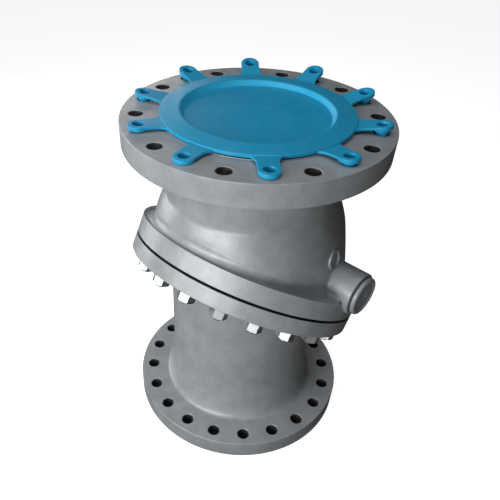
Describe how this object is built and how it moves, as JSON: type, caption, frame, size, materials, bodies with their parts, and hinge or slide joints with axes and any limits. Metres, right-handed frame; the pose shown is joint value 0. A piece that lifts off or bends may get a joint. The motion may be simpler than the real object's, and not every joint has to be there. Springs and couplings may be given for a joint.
{
  "type": "tilting disc check valve",
  "caption": "Flanged two-piece check valve with a slanted bolted body joint, a tilting disc on side pivot pins and a plastic cover over the outlet flange.",
  "frame": {"origin": "centre of the inlet flange's raised face, on the pipe axis, where the valve stands", "axes": "+Z along the pipe axis in the flow direction, +X along the pivot pin axis, +Y towards the low side of the slanted body joint"},
  "size_m": [0.634, 0.5842, 0.8665],
  "materials": {
    "body_paint": "satin grey machinery paint over cast steel",
    "zinc": "bright zinc plating",
    "stainless": "machined stainless steel",
    "bronze": "plain bearing bronze",
    "gasket": "matt black graphite sheet",
    "protector_plastic": "moulded blue polyethylene"
  },
  "bodies": {
    "valve_body": {"inlet_body": "body_paint", "outlet_body": "body_paint", "body_gasket": "gasket", "seat_ring": "stainless", "pivot_pin_left": "stainless", "pivot_pin_right": "stainless", "thrust_washer_left": "bronze", "thrust_washer_right": "bronze", "pin_cover_gasket_left": "gasket", "pin_cover_gasket_right": "gasket", "pin_cover_left": "body_paint", "pin_cover_right": "body_paint", "joint_stud_01": "zinc", "joint_stud_02": "zinc", "joint_stud_03": "zinc", "joint_stud_04": "zinc", "joint_stud_05": "zinc", "joint_stud_06": "zinc", "joint_stud_07": "zinc", "joint_stud_08": "zinc", "joint_stud_09": "zinc", "joint_stud_10": "zinc", "joint_stud_11": "zinc", "joint_stud_12": "zinc", "joint_stud_13": "zinc", "joint_stud_14": "zinc", "joint_stud_15": "zinc", "joint_stud_16": "zinc", "joint_stud_17": "zinc", "joint_stud_18": "zinc", "joint_stud_19": "zinc", "joint_stud_20": "zinc", "joint_nut_01": "zinc", "joint_nut_02": "zinc", "joint_nut_03": "zinc", "joint_nut_04": "zinc", "joint_nut_05": "zinc", "joint_nut_06": "zinc", "joint_nut_07": "zinc", "joint_nut_08": "zinc", "joint_nut_09": "zinc", "joint_nut_10": "zinc", "joint_nut_11": "zinc", "joint_nut_12": "zinc", "joint_nut_13": "zinc", "joint_nut_14": "zinc", "joint_nut_15": "zinc", "joint_nut_16": "zinc", "joint_nut_17": "zinc", "joint_nut_18": "zinc", "joint_nut_19": "zinc", "joint_nut_20": "zinc"},
    "tilting_disc": {"disc": "stainless", "disc_bushing_left": "bronze", "disc_bushing_right": "bronze"},
    "protector": {"flange_protector": "protector_plastic"}
  },
  "joints": [
    {"name": "disc_hinge", "type": "hinge", "parent": "valve_body", "child": "tilting_disc", "pos_m": [0, 0.046, 0.492], "axis": [-1, 0, 0], "range_deg": [0, 50]},
    {"name": "protector_lift", "type": "slide", "parent": "valve_body", "child": "protector", "axis": [0, 0, 1], "range_m": [0, 0.15]}
  ]
}
